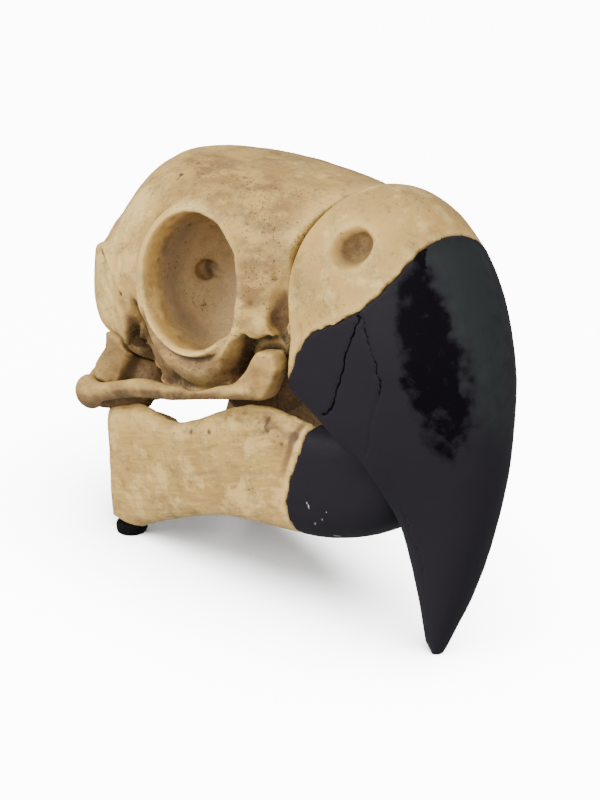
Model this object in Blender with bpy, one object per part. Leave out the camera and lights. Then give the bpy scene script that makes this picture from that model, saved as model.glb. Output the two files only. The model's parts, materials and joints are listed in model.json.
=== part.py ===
"""Life-size cast of a large macaw's skull with its black bill sheaths, standing on two pads and the bill's tip.

The skull is drawn level, cheek bars flat, with +X out of the bill, +Y to its left and +Z up, in
millimetres from the tip of the upper bill. One empty then tips it nose up, as it stands, and
rests it on the floor.
"""

import math

import bmesh
import bpy
import numpy as np
from mathutils import Matrix, Vector
from mathutils.bvhtree import BVHTree

MM = 0.001
GAP = 0.3
HINGE_GAP = 0.5

# How the skull stands, in the floor's frame.
NOSE_UP_DEG = 18.0
TIP_X = 46.8
TIP_SUNK = 0.6

# Pads under the rear corners of the jaw, in the floor's frame, measured from the tip.
PAD_BACK = 97.0
PAD_SIDE = 18.5
PAD_RADIUS = 3.9
PAD_HEIGHT = 3.1
PAD_BEVEL = 0.8

# The eye sockets face out, a little forward and a little up.
ORBIT_CENTRE = (-28.7, -25.8, 97.2)
ORBIT_FACING = (0.301, -0.944, 0.130)
ORBIT_HALF_LENGTH = 13.6
ORBIT_HALF_HEIGHT = 16.2
ORBIT_DEPTH = 21.5
CUP_WALL = 5.0
CUP_HEIGHT_WALL = 6.8
CUP_HANG = 4.4
CUP_BACK = 1.2
RIM_RADIUS = 2.1
CUP_DEPTH = 21.0
CUP_SET_IN = 9.0
CUP_FACE_RADII = (54.0, 54.0, 40.0)
CUP_FACE_AHEAD = 40.6

# How finely each bone is remeshed, and about how many triangles it keeps.
FINE_VOXEL = 0.9
QUADRATE_VOXEL = 0.8
BAR_VOXEL = 0.7
CRANIUM_TRIANGLES = 5400
BILL_TRIANGLES = 3200
JAW_TRIANGLES = 2900
QUADRATE_TRIANGLES = 800
BAR_TRIANGLES = 700

# Sizes of the cutters.
SIDE_REACH = 45.0
SEAT_REACH = 10.0
FLOOR_BLOCK = (400.0, 200.0, 40.0)

# Colour and roughness of each finish.
BONE = ("bone", (0.62, 0.47, 0.30), 0.6)
HORN = ("black horn", (0.016, 0.016, 0.019), 0.4)
RUBBER = ("pad rubber", (0.01, 0.01, 0.01), 0.9)
SHARP_DEG = 40.0


def clear_scene():
    for thing in list(bpy.data.objects):
        bpy.data.objects.remove(thing)


def smooth_rows(rows, count):
    """Rows on one smooth curve through the given rows, a Catmull-Rom spline in every column."""
    rows = np.array(rows, float)
    framed = np.vstack([2 * rows[0] - rows[1], rows, 2 * rows[-1] - rows[-2]])
    place = np.linspace(0, len(rows) - 1, count)
    span = np.minimum(place.astype(int), len(rows) - 2)
    f = (place - span)[:, None]
    a, b, c, d = (framed[span + k] for k in range(4))
    return 0.5 * (2 * b + (c - a) * f + (2 * a - 5 * b + 4 * c - d) * f**2 + (3 * b - a - 3 * c + d) * f**3)


def solid(name, points, faces):
    """A closed mesh object from points in millimetres, with its faces turned outwards."""
    mesh = bpy.data.meshes.new(name)
    mesh.from_pydata([[c * MM for c in p] for p in points], [], faces)
    made = bmesh.new()
    made.from_mesh(mesh)
    bmesh.ops.recalc_face_normals(made, faces=made.faces)
    made.to_mesh(mesh)
    made.free()
    thing = bpy.data.objects.new(name, mesh)
    bpy.context.scene.collection.objects.link(thing)
    return thing


def skin_rings(name, rings):
    """A closed solid over a list of rings that all have the same number of points."""
    count = len(rings[0])
    points = [p for ring in rings for p in ring]
    faces = [list(range(count))[::-1], list(range((len(rings) - 1) * count, len(rings) * count))]
    for r in range(len(rings) - 1):
        for k in range(count):
            after = (k + 1) % count
            faces.append([r * count + k, r * count + after, (r + 1) * count + after, (r + 1) * count + k])
    return solid(name, points, faces)


def signed_power(value, power):
    return math.copysign(abs(value) ** power, value)


def rail_loft(name, stations, sections, around, side=0.0):
    """A loft between a top rail and a bottom rail in the XZ plane.

    A station is top x, top z, bottom x, bottom z, half width, upper squareness, lower squareness,
    and how much narrower the top is than the bottom. Each section is a superellipse that spans
    the two rails, centred on y = side.
    """
    rings = []
    for tx, tz, bx, bz, half, square_up, square_down, narrow in smooth_rows(stations, sections):
        ring = []
        for k in range(around):
            angle = 2 * math.pi * (k + 0.5) / around
            square = square_up if math.sin(angle) > 0 else square_down
            across = signed_power(math.cos(angle), 2 / square)
            up = signed_power(math.sin(angle), 2 / square)
            share = (up + 1) / 2
            width = max(half, 0.2) * (1 - narrow * (share - 0.5))
            ring.append((bx + (tx - bx) * share, side + across * width, bz + (tz - bz) * share))
        rings.append(ring)
    return skin_rings(name, rings)


def prism(name, outline, reach=SIDE_REACH):
    """An outline in the XZ plane carried across to both sides."""
    return skin_rings(name, [[(x, y, z) for x, z in outline] for y in (-reach, reach)])


def plate(name, outline, thickness, depth):
    """A flat plate with an outline in the XZ plane. depth gives y of its outer face at x, z."""
    outer = [(x, depth(x, z), z) for x, z in outline]
    return skin_rings(name, [outer, [(x, y + thickness, z) for x, y, z in outer]])


def offset_line(line, shift):
    """A line in the XZ plane moved sideways, to its left for a positive shift."""
    line = np.array(line, float)
    run = np.gradient(line, axis=0)
    run /= np.linalg.norm(run, axis=1)[:, None]
    return line + shift * np.column_stack([-run[:, 1], run[:, 0]])


def ellipsoid(name, centre, radii, turn=None, segments=28, rings=18):
    """An ellipsoid. turn holds its three axes as a rotation matrix."""
    mesh = bpy.data.meshes.new(name)
    made = bmesh.new()
    bmesh.ops.create_uvsphere(made, u_segments=segments, v_segments=rings, radius=1.0)
    place = Matrix.Translation(Vector(centre) * MM)
    if turn is not None:
        place = place @ turn.to_4x4()
    made.transform(place @ Matrix.Diagonal([r * MM for r in radii] + [1.0]))
    made.to_mesh(mesh)
    made.free()
    thing = bpy.data.objects.new(name, mesh)
    bpy.context.scene.collection.objects.link(thing)
    return thing


def pitched(degrees):
    """A turn in the XZ plane, nose up for a positive angle."""
    return Matrix.Rotation(-math.radians(degrees), 3, "Y")


def limb(name, stations, sections=14, around=14):
    """A bar along a smooth line. A station is x, y, z, half width across and half height."""
    rows = smooth_rows(stations, sections)
    run = np.gradient(rows[:, :3], axis=0)
    rings = []
    for (x, y, z, wide, high), along in zip(rows, run):
        forward = Vector(along).normalized()
        side = forward.cross(Vector((0, 0, 1)))
        if side.length < 0.3:
            side = forward.cross(Vector((1, 0, 0)))
        side.normalize()
        up = side.cross(forward)
        angles = [2 * math.pi * k / around for k in range(around)]
        rings.append([Vector((x, y, z)) + side * wide * math.cos(a) + up * high * math.sin(a) for a in angles])
    return skin_rings(name, rings)


def bake(thing):
    """Replaces an object's mesh by what its modifiers make of it."""
    graph = bpy.context.evaluated_depsgraph_get()
    graph.update()
    mesh = bpy.data.meshes.new_from_object(thing.evaluated_get(graph))
    thing.modifiers.clear()
    thing.data = mesh
    return thing


def boolean(thing, operation, others):
    """One Boolean of thing with a collection of closed solids, which are then removed."""
    tools = bpy.data.collections.new(thing.name + "_tools")
    bpy.context.scene.collection.children.link(tools)
    for other in others:
        for home in list(other.users_collection):
            home.objects.unlink(other)
        tools.objects.link(other)
    modifier = thing.modifiers.new(operation.lower(), "BOOLEAN")
    modifier.operation = operation
    modifier.operand_type = "COLLECTION"
    modifier.collection = tools
    modifier.solver = "EXACT"
    bake(thing)
    for other in others:
        bpy.data.objects.remove(other)
    bpy.data.collections.remove(tools)
    return thing


def soften(thing, voxel, passes, triangles):
    """Melts fused pieces into one bone: a fine remesh, a smoothing, then fewer triangles."""
    remesh = thing.modifiers.new("melt", "REMESH")
    remesh.mode = "VOXEL"
    remesh.voxel_size = voxel * MM
    bake(thing)
    ease = thing.modifiers.new("ease", "SMOOTH")
    ease.factor = 0.5
    ease.iterations = passes
    bake(thing)
    thin = thing.modifiers.new("thin", "DECIMATE")
    thin.ratio = min(1.0, triangles / (2 * len(thing.data.polygons)))
    thin.use_collapse_triangulate = True
    return bake(thing)


def keep_largest(thing):
    """Keeps the largest closed surface of the mesh."""
    made = bmesh.new()
    made.from_mesh(thing.data)
    left = set(made.verts)
    pieces = []
    while left:
        piece = set()
        edge = [next(iter(left))]
        while edge:
            vert = edge.pop()
            if vert in piece:
                continue
            piece.add(vert)
            edge.extend(e.other_vert(vert) for e in vert.link_edges)
        pieces.append(piece)
        left -= piece
    pieces.sort(key=len)
    for piece in pieces[:-1]:
        bmesh.ops.delete(made, geom=list(piece), context="VERTS")
    made.to_mesh(thing.data)
    made.free()
    return thing


def swollen(thing, gap=GAP):
    """A copy of a solid with its surface moved out by the gap."""
    copy = thing.copy()
    copy.data = thing.data.copy()
    copy.name = thing.name + "_swollen"
    bpy.context.scene.collection.objects.link(copy)
    swell = copy.modifiers.new("swell", "DISPLACE")
    swell.strength = gap * MM
    swell.mid_level = 0.0
    return bake(copy)


def cut_clear(thing, *neighbours):
    """Cuts thing back from its neighbours, with the gap between them."""
    boolean(thing, "DIFFERENCE", [swollen(n) for n in neighbours])
    return keep_largest(thing)


def mirrored(thing, name):
    """The same solid on the other side of the skull."""
    copy = thing.copy()
    copy.data = thing.data.copy()
    copy.name = name
    bpy.context.scene.collection.objects.link(copy)
    made = bmesh.new()
    made.from_mesh(copy.data)
    made.transform(Matrix.Diagonal((1, -1, 1, 1)))
    bmesh.ops.reverse_faces(made, faces=made.faces)
    made.to_mesh(copy.data)
    made.free()
    return copy


def both_sides(make, name):
    right = make(name + "_right")
    return [right, mirrored(right, name + "_left")]


# The ridge between the side and the back of the skull: x, z and radius.
CREST = [(-70.5, 114.0, 1.2), (-75.0, 109.5, 2.0), (-72.5, 104.5, 2.2), (-66.5, 98.5, 2.0), (-60.5, 92.0, 1.6)]

# The plate behind that ridge, which ends below in a blunt hook.
WING = [
    (-72.0, 109.5), (-75.2, 108.5), (-79.8, 99.0), (-81.2, 93.0), (-78.2, 88.8), (-72.5, 87.4), (-67.0, 85.0),
    (-61.5, 82.4), (-57.4, 82.0), (-56.2, 85.0), (-58.0, 90.5), (-64.0, 97.5),
]
WING_THICKNESS = 7.0

# The block between the cheek bar and the bill.
BLOCK = [
    (-24.0, 69.4), (-21.0, 72.0), (-16.8, 75.4), (-12.6, 79.4), (-7.2, 78.6), (-7.4, 74.6), (-10.2, 70.4),
    (-13.8, 67.4), (-19.0, 68.8),
]
BLOCK_THICKNESS = 5.0

# Level-frame lines that two neighbouring solids share.
HINGE_LINE = [
    (14.5, 121.0), (11.0, 111.0), (5.6, 105.6), (0.6, 99.6), (-0.8, 93.0), (-1.6, 82.0), (-5.5, 74.0), (-12.0, 60.0),
]
SHEATH_LINE = [
    (42.0, 112.0), (36.0, 103.0), (32.2, 97.0), (30.0, 92.8), (26.4, 89.7), (21.5, 86.2), (15.2, 84.1),
    (9.2, 83.3), (2.8, 80.3), (-1.2, 75.8), (-7.7, 70.0), (-17.0, 62.0),
]
JAW_SHEATH_LINE = [
    (-1.0, 74.0), (-5.5, 64.0), (-8.0, 59.0), (-11.0, 53.0), (-15.3, 47.0), (-18.6, 41.5), (-20.0, 36.0),
    (-20.5, 31.0), (-20.0, 20.0),
]


def wing_depth(x, z):
    return -21.8 - 0.315 * (x + 75.5) + 0.103 * (z - 109.5)


def block_depth(x, z):
    return -25.6 + 0.16 * (x + 20.0)


def cranium():
    vault = rail_loft(
        "cranium",
        [
            # top x, top z, bottom x, bottom z, half width, upper, lower squareness, narrowing
            (-84.0, 102, -84.0, 91, 8.0, 2.0, 2.0, 0.0),
            (-81.5, 111, -82.0, 83, 19.0, 1.7, 2.2, 0.25),
            (-74.0, 119.6, -76.0, 77, 24.0, 1.6, 2.4, 0.25),
            (-63.0, 126.0, -65.0, 74, 27.0, 1.7, 2.6, 0.22),
            (-50.0, 127.8, -50.0, 73, 28.2, 1.9, 2.6, 0.18),
            (-34.0, 125.0, -34.0, 73, 27.2, 2.2, 2.6, 0.10),
            (-18.0, 120.4, -20.0, 75, 24.4, 2.4, 2.8, 0.05),
            (-3.0, 115.4, -12.0, 75, 22.0, 2.4, 3.0, 0.05),
            (10.0, 110.6, -6.0, 74, 19.4, 2.3, 3.2, 0.05),
            (16.0, 109.3, -3.0, 73, 18.5, 2.3, 3.2, 0.05),
        ],
        sections=30,
        around=44,
    )
    facing = Vector(ORBIT_FACING).normalized()
    along = Vector((1, 0, 0))
    along = (along - facing * along.dot(facing)).normalized()
    upward = facing.cross(along)
    turn = Matrix((along, upward, facing)).transposed()
    centre = Vector(ORBIT_CENTRE)

    def cup(name):
        radii = (ORBIT_HALF_LENGTH + CUP_WALL, ORBIT_HALF_HEIGHT + CUP_HEIGHT_WALL, CUP_DEPTH)
        middle = centre - facing * CUP_SET_IN - upward * CUP_HANG - along * CUP_BACK
        body = ellipsoid(name, middle, radii, turn, 40, 26)
        face = ellipsoid(name + "_face", centre + facing * CUP_FACE_AHEAD, CUP_FACE_RADII, turn, 48, 30)
        return boolean(body, "DIFFERENCE", [face])

    def rim(name):
        wide = ORBIT_HALF_LENGTH + RIM_RADIUS - 0.8
        tall = ORBIT_HALF_HEIGHT + RIM_RADIUS - 0.8
        turns = [2 * math.pi * k / 24 for k in range(26)]
        ring = []
        for a in turns:
            sunk = 1.2 * max(0.0, math.sin(a) + 0.5 * math.cos(a))
            around = along * wide * math.cos(a) + upward * tall * math.sin(a)
            ring.append((*(centre + facing * (0.6 - sunk) + around), RIM_RADIUS, RIM_RADIUS))
        return limb(name, ring, sections=52, around=10)

    def crest(name):
        side = BVHTree.FromObject(vault, bpy.context.evaluated_depsgraph_get())
        points = []
        for x, z, radius in CREST:
            hit = side.ray_cast(Vector((x, -60, z)) * MM, Vector((0, 1, 0)))[0] / MM
            points.append((x, hit.y + 0.5 * radius, z, radius, radius))
        return limb(name, points)

    def postorbital(name):
        return ellipsoid(name, (-45.0, -21.5, 86.0), (10.5, 9.0, 13.0), pitched(8), 32, 20)

    def lower_bulge(name):
        return ellipsoid(name, (-44.0, -20.8, 80.2), (14.0, 9.4, 9.6), None, 32, 20)

    def wing(name):
        return plate(name, WING, WING_THICKNESS, wing_depth)

    def cheek(name):
        return limb(name, [(-20, -20.5, 86, 3.6, 5), (-12, -20, 84, 4.6, 6), (-5, -19, 81, 3.6, 5)])

    pieces = []
    for make in (cup, rim, crest, postorbital, lower_bulge, wing, cheek):
        pieces += both_sides(make, make.__name__)
    pieces.append(ellipsoid("condyle", (-84.5, 0, 83.5), (3.4, 4.2, 3.0)))
    pieces.append(ellipsoid("skull_floor", (-56, 0, 75.5), (24, 13, 6.5)))
    boolean(vault, "UNION", pieces)

    def socket(name):
        return ellipsoid(name, centre, (ORBIT_HALF_LENGTH, ORBIT_HALF_HEIGHT, ORBIT_DEPTH), turn, 44, 30)

    def nerve_hole(name):
        return ellipsoid(name, (-42.6, -11.4, 98.1), (2.6, 3.4, 2.6))

    def temple(name):
        return ellipsoid(name, (-53.6, -30.0, 86.5), (2.1, 8.5, 10.0), pitched(-4))

    def jaw_hollow(name):
        return ellipsoid(name, (-60.5, -25.0, 73.0), (8.0, 12.0, 8.0))

    def snout_hollow(name):
        return ellipsoid(name, (-11.5, -25.5, 78.0), (7.5, 8.0, 4.2), pitched(8))

    def snout_groove(name):
        return limb(
            name,
            [
                (11.5, -8.0, 113.0, 1.6, 1.6), (8.0, -15.0, 109.6, 1.9, 1.9), (2.6, -20.5, 104.6, 2.2, 2.2),
                (-2.2, -23.6, 98.6, 2.5, 2.5), (-3.6, -24.6, 92.0, 2.8, 2.8), (-5.0, -25.0, 84.0, 3.8, 3.8),
                (-9.0, -24.5, 77.0, 3.6, 3.6),
            ],
        )

    cutters = [ellipsoid("neck_hole", (-87.5, 0, 92.0), (7.5, 5.2, 5.0))]
    for make in (socket, nerve_hole, temple, jaw_hollow, snout_hollow, snout_groove):
        cutters += both_sides(make, make.__name__)
    cutters.append(prism("ahead", [*map(tuple, offset_line(HINGE_LINE, -HINGE_GAP / 2)), (80, 60), (80, 121)]))
    boolean(vault, "DIFFERENCE", cutters)
    keep_largest(vault)
    return soften(vault, FINE_VOXEL, 5, CRANIUM_TRIANGLES)


UPPER_BILL = [
    # culmen x, z, cutting edge x, z, half width, upper, lower squareness, narrowing
    (4.0, 108.0, -13.0, 72.0, 17.0, 2.3, 5.0, 0.0),
    (8.0, 110.8, -11.0, 69.4, 20.6, 2.2, 6.0, 0.0),
    (14.0, 111.2, -8.0, 67.5, 22.0, 2.1, 8.0, 0.03),
    (21.0, 109.2, -4.0, 63.8, 21.8, 2.1, 8.0, 0.05),
    (28.0, 104.5, 0.5, 59.0, 21.0, 2.1, 8.0, 0.05),
    (33.4, 97.2, 4.6, 53.8, 20.0, 2.1, 8.0, 0.08),
    (36.8, 88.2, 8.0, 50.4, 18.6, 2.1, 7.0, 0.10),
    (38.8, 76.7, 8.6, 44.8, 16.6, 2.1, 6.0, 0.10),
    (38.6, 64.2, 7.0, 39.0, 14.2, 2.1, 4.0, 0.08),
    (36.0, 51.7, 5.6, 33.4, 11.6, 2.1, 3.0, 0.05),
    (31.6, 39.5, 4.3, 27.5, 9.2, 2.1, 2.8, 0.0),
    (25.0, 27.0, 3.7, 20.6, 7.2, 2.1, 2.6, 0.0),
    (16.2, 14.5, 3.2, 12.6, 5.2, 2.0, 2.4, 0.0),
    (8.0, 4.8, 1.8, 5.6, 3.2, 2.0, 2.0, 0.0),
    (3.4, -0.4, 0.5, 0.9, 1.9, 2.0, 2.0, 0.0),
    (1.5, -2.0, -0.2, -1.2, 1.2, 2.0, 2.0, 0.0),
]
BILL_WALL = 3.4
# How far the mouth reaches up from the cutting edge, as a share of each section.
MOUTH_REACH = [0.34, 0.34, 0.36, 0.40, 0.43, 0.46, 0.46, 0.42, 0.34, 0.14]
MOUTH_BELOW = 14.0


def mouth_cutter():
    """The hollow of the upper bill, open below and behind."""
    stations = []
    for (tx, tz, bx, bz, half, *_), reach in zip(UPPER_BILL, MOUTH_REACH):
        length = math.hypot(tx - bx, tz - bz)
        ux, uz = (tx - bx) / length, (tz - bz) / length
        top = (bx + ux * reach * length, bz + uz * reach * length)
        low = (bx - ux * MOUTH_BELOW, bz - uz * MOUTH_BELOW)
        stations.append((*top, *low, max(half, 20.0 if half > 19.5 else half) - BILL_WALL, 2.6, 6.0, 0.0))
    first = stations[0]
    behind = (first[0] - 12, first[1] - 2, first[2] - 12, first[3] - 2, *first[4:])
    return rail_loft("mouth", [behind, *stations], sections=26, around=32)


def upper_bill():
    """The bony base with its nostrils, and the black sheath ahead of it."""
    bill = rail_loft("upper_bill_base", UPPER_BILL, sections=46, around=44)

    def nostril(name):
        return ellipsoid(name, (19.6, -19.5, 100.2), (5.6, 8.5, 5.0), None, 24, 16)

    behind = prism("behind", [*map(tuple, offset_line(HINGE_LINE, HINGE_GAP / 2)), (-90, 60), (-90, 121)])
    boolean(bill, "DIFFERENCE", [mouth_cutter(), behind, *both_sides(nostril, "nostril")])
    keep_largest(bill)
    soften(bill, FINE_VOXEL, 2, BILL_TRIANGLES)

    sheath = bill.copy()
    sheath.data = bill.data.copy()
    sheath.name = "upper_bill_sheath"
    bpy.context.scene.collection.objects.link(sheath)

    line = smooth_rows(SHEATH_LINE, 24)
    over = prism("over", [*map(tuple, offset_line(line, -GAP / 2)), (-60, 62), (-60, 150), (42, 150)])
    under = prism("under", [*map(tuple, offset_line(line, GAP / 2)), (-17, -30), (70, -30), (70, 112)])
    boolean(bill, "INTERSECT", [over])
    boolean(sheath, "INTERSECT", [under])
    return keep_largest(bill), keep_largest(sheath)


JAW = [
    # top x, z, bottom x, z, half width, upper, lower squareness, narrowing
    (-87.5, 62.0, -96.0, 41.0, 21.0, 5.0, 5.0, -0.05),
    (-85.0, 66.0, -92.5, 32.6, 22.6, 6.0, 6.0, -0.10),
    (-78.0, 67.0, -84.0, 31.6, 23.4, 7.0, 7.0, -0.12),
    (-68.0, 66.8, -70.0, 34.0, 23.8, 7.0, 7.0, -0.12),
    (-57.0, 62.6, -57.0, 35.8, 24.0, 7.0, 7.0, -0.12),
    (-45.0, 63.4, -44.0, 36.4, 23.6, 7.0, 7.0, -0.12),
    (-32.0, 66.2, -31.0, 34.2, 22.6, 6.0, 6.0, -0.12),
    (-20.0, 66.0, -21.0, 31.2, 21.0, 5.0, 4.0, -0.12),
    (-9.0, 60.8, -12.0, 29.6, 18.8, 5.0, 3.2, -0.12),
    (0.5, 58.0, -3.0, 30.6, 15.8, 5.0, 2.8, -0.12),
    (6.5, 55.5, 4.5, 34.0, 12.4, 4.0, 2.6, -0.10),
    (11.0, 53.0, 10.6, 40.0, 8.6, 3.0, 2.4, -0.05),
    (13.4, 50.5, 13.4, 45.0, 4.6, 2.4, 2.2, 0.0),
]
JAW_WALL = 4.6
CHIN_BACK = -26.0


def jaw_channel():
    """The room between the two sides of the jaw, open above, behind and, behind the chin, below."""
    tall = []
    for tx, tz, bx, bz, half, *_ in JAW[:10]:
        floor = bz + 7.5 if tx > CHIN_BACK else bz - 12.0
        inner = max(half - JAW_WALL, 2.0)
        tall.append((tx, tz + 16, bx, floor, inner, 6.0, 4.0 if tx > CHIN_BACK else 7.0, -0.15))
    first = tall[0]
    behind = (first[0] - 12, first[1], first[2] - 12, first[3], *first[4:])
    return rail_loft("channel", [behind, *tall], sections=30, around=32)


def jaw():
    """The jaw bone and the black sheath of its chin."""
    bone = rail_loft("jaw", JAW, sections=44, around=40)
    boolean(bone, "DIFFERENCE", [jaw_channel()])
    keep_largest(bone)

    def hinge_knob(name):
        return ellipsoid(name, (-72.5, -16.0, 60.4), (9.0, 5.6, 4.6))

    boolean(bone, "UNION", both_sides(hinge_knob, "hinge_knob"))
    soften(bone, FINE_VOXEL, 2, JAW_TRIANGLES)

    sheath = bone.copy()
    sheath.data = bone.data.copy()
    sheath.name = "lower_bill_sheath"
    bpy.context.scene.collection.objects.link(sheath)
    line = smooth_rows(JAW_SHEATH_LINE, 30)
    back = prism("back", [*map(tuple, offset_line(line, -GAP / 2)), (-140, 20), (-140, 74)])
    front = prism("front", [*map(tuple, offset_line(line, GAP / 2)), (60, 20), (60, 74)])
    boolean(bone, "INTERSECT", [back])
    boolean(sheath, "INTERSECT", [front])
    return keep_largest(bone), keep_largest(sheath)


def cheek_bar(name):
    """The slim bar under the eye, with the block that carries its front end."""
    bar = limb(
        name,
        [
            (-85.5, -25.6, 71.2, 3.6, 4.2), (-79.0, -26.8, 71.2, 2.4, 2.7), (-66.0, -28.2, 72.2, 2.0, 2.5),
            (-54.0, -29.0, 72.6, 2.0, 2.6), (-43.0, -29.0, 71.2, 1.9, 2.0), (-27.0, -27.6, 70.6, 2.0, 1.6),
            (-15.0, -24.4, 70.4, 2.6, 2.4),
        ],
        sections=26,
        around=14,
    )
    block = plate("block", BLOCK, BLOCK_THICKNESS, block_depth)
    knob = ellipsoid("knob", (-87.6, -24.6, 71.0), (4.7, 4.2, 5.0), pitched(20), 20, 14)
    boolean(bar, "UNION", [block, knob])
    return soften(bar, BAR_VOXEL, 2, BAR_TRIANGLES)


def quadrate(name):
    """The jaw joint's own bone: a foot on the jaw, a neck up to the skull and an arm to the cheek bar."""
    neck = limb(
        name,
        [
            (-68.0, -21.0, 92.0, 3.2, 5.0), (-71.5, -21.4, 86.0, 3.2, 5.6), (-75.5, -22.0, 80.0, 3.2, 6.0),
            (-82.0, -22.6, 73.6, 3.2, 4.6),
        ],
    )
    foot = limb(
        "foot",
        [
            (-76.0, -20.0, 82.0, 3.4, 4.4), (-73.0, -16.5, 76.0, 4.2, 5.0), (-72.0, -15.5, 70.5, 4.8, 5.6),
            (-72.0, -15.5, 66.4, 3.4, 4.4),
        ],
    )
    orbital_arm = limb(
        "orbital_arm",
        [(-74.0, -17.0, 76.0, 2.6, 3.0), (-67.0, -13.0, 77.0, 2.0, 2.4), (-61.0, -11.0, 78.5, 1.3, 1.6)],
    )
    boolean(neck, "UNION", [foot, orbital_arm])
    return soften(neck, QUADRATE_VOXEL, 2, QUADRATE_TRIANGLES)


def palatine(name):
    """A tall thin plate that hangs beside the midline of the palate."""
    return rail_loft(
        name,
        [
            (-52.0, 74.0, -54.0, 68.5, 0.9, 2.6, 2.6, 0.0),
            (-46.0, 76.5, -48.5, 61.0, 1.3, 3.0, 3.0, 0.0),
            (-36.0, 78.0, -37.0, 58.5, 1.5, 3.0, 3.0, 0.0),
            (-24.0, 79.0, -23.0, 61.5, 1.5, 3.0, 3.0, 0.0),
            (-12.0, 82.0, -8.0, 67.0, 1.4, 3.0, 3.0, 0.0),
            (-3.0, 84.0, 2.0, 71.5, 1.2, 3.0, 3.0, 0.0),
        ],
        sections=12,
        around=10,
        side=-7.2,
    )


def pterygoid(name):
    """The strut from the quadrate in to the palatine."""
    return limb(
        name,
        [(-69.6, -14.6, 71.0, 1.6, 1.8), (-62.0, -11.6, 71.6, 1.3, 1.5), (-55.6, -8.8, 71.8, 1.2, 1.5)],
        sections=10,
        around=12,
    )


def pad(name):
    """A round pad under a rear corner of the jaw, in the floor's frame."""
    made = bmesh.new()
    bmesh.ops.create_cone(
        made, cap_ends=True, segments=20, radius1=PAD_RADIUS * MM, radius2=PAD_RADIUS * MM, depth=PAD_HEIGHT * MM
    )
    made.transform(Matrix.Translation(Vector((TIP_X - PAD_BACK, -PAD_SIDE, PAD_HEIGHT / 2)) * MM))
    mesh = bpy.data.meshes.new(name)
    made.to_mesh(mesh)
    made.free()
    thing = bpy.data.objects.new(name, mesh)
    bpy.context.scene.collection.objects.link(thing)
    bevel = thing.modifiers.new("round", "BEVEL")
    bevel.width = PAD_BEVEL * MM
    bevel.segments = 2
    bevel.limit_method = "ANGLE"
    return bake(thing)


def paint(thing, finish):
    """Gives a solid one of the three finishes."""
    name, colour, roughness = finish
    material = bpy.data.materials.get(name) or bpy.data.materials.new(name)
    material.use_nodes = True
    shader = material.node_tree.nodes["Principled BSDF"]
    shader.inputs["Base Color"].default_value = (*colour, 1.0)
    shader.inputs["Roughness"].default_value = roughness
    shader.inputs["Metallic"].default_value = 0.0
    thing.data.materials.clear()
    thing.data.materials.append(material)
    thing.data.shade_smooth()
    thing.data.set_sharp_from_angle(angle=math.radians(SHARP_DEG))


def seat_cutter(side):
    """The room that a pad and the floor need, in the floor's frame."""
    made = bmesh.new()
    depth = PAD_HEIGHT + GAP + SEAT_REACH
    radius = (PAD_RADIUS + GAP) * MM
    bmesh.ops.create_cone(made, cap_ends=True, segments=20, radius1=radius, radius2=radius, depth=depth * MM)
    middle = PAD_HEIGHT + GAP - depth / 2
    made.transform(Matrix.Translation(Vector((TIP_X - PAD_BACK, side * PAD_SIDE, middle)) * MM))
    mesh = bpy.data.meshes.new("seat")
    made.to_mesh(mesh)
    made.free()
    thing = bpy.data.objects.new("seat", mesh)
    bpy.context.scene.collection.objects.link(thing)
    return thing


def floor_cutter():
    """A block whose top is the floor."""
    length, width, depth = (size * MM for size in FLOOR_BLOCK)
    made = bmesh.new()
    bmesh.ops.create_cube(made, size=1.0)
    made.transform(Matrix.Translation((0, 0, -depth / 2)) @ Matrix.Diagonal((length, width, depth, 1)))
    mesh = bpy.data.meshes.new("floor")
    made.to_mesh(mesh)
    made.free()
    thing = bpy.data.objects.new("floor", mesh)
    bpy.context.scene.collection.objects.link(thing)
    return thing


def main():
    clear_scene()
    braincase = cranium()
    base, sheath = upper_bill()
    jaw_bone, chin = jaw()
    bars = both_sides(cheek_bar, "cheek_bar")
    quadrates = both_sides(quadrate, "quadrate")
    palatines = both_sides(palatine, "palatine")
    pterygoids = both_sides(pterygoid, "pterygoid")

    for bar in bars:
        cut_clear(bar, braincase, base, sheath)
    for thing, bar in zip(quadrates, bars):
        cut_clear(thing, braincase, jaw_bone, bar)
    for thing in palatines:
        cut_clear(thing, braincase, base, sheath)
    for thing, joint, palate in zip(pterygoids, quadrates, palatines):
        cut_clear(thing, braincase, joint, palate)

    pose = bpy.data.objects.new("nose_up", None)
    bpy.context.scene.collection.objects.link(pose)
    pose.location = Vector((TIP_X, 0, -TIP_SUNK)) * MM
    pose.rotation_euler = (0, -math.radians(NOSE_UP_DEG), 0)
    bones = [braincase, base, jaw_bone, *bars, *quadrates, *palatines, *pterygoids]
    for thing in [*bones, sheath, chin]:
        thing.parent = pose
    bpy.context.view_layer.update()

    boolean(sheath, "DIFFERENCE", [floor_cutter()])
    boolean(jaw_bone, "DIFFERENCE", [seat_cutter(-1), seat_cutter(1)])
    keep_largest(jaw_bone)
    pads = both_sides(pad, "pad")

    for thing in bones:
        paint(thing, BONE)
    for thing in (sheath, chin):
        paint(thing, HORN)
    for thing in pads:
        paint(thing, RUBBER)


main()
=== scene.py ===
import json
import math
import time

import bmesh
import bpy
import numpy as np
from mathutils import Matrix, Vector

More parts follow.
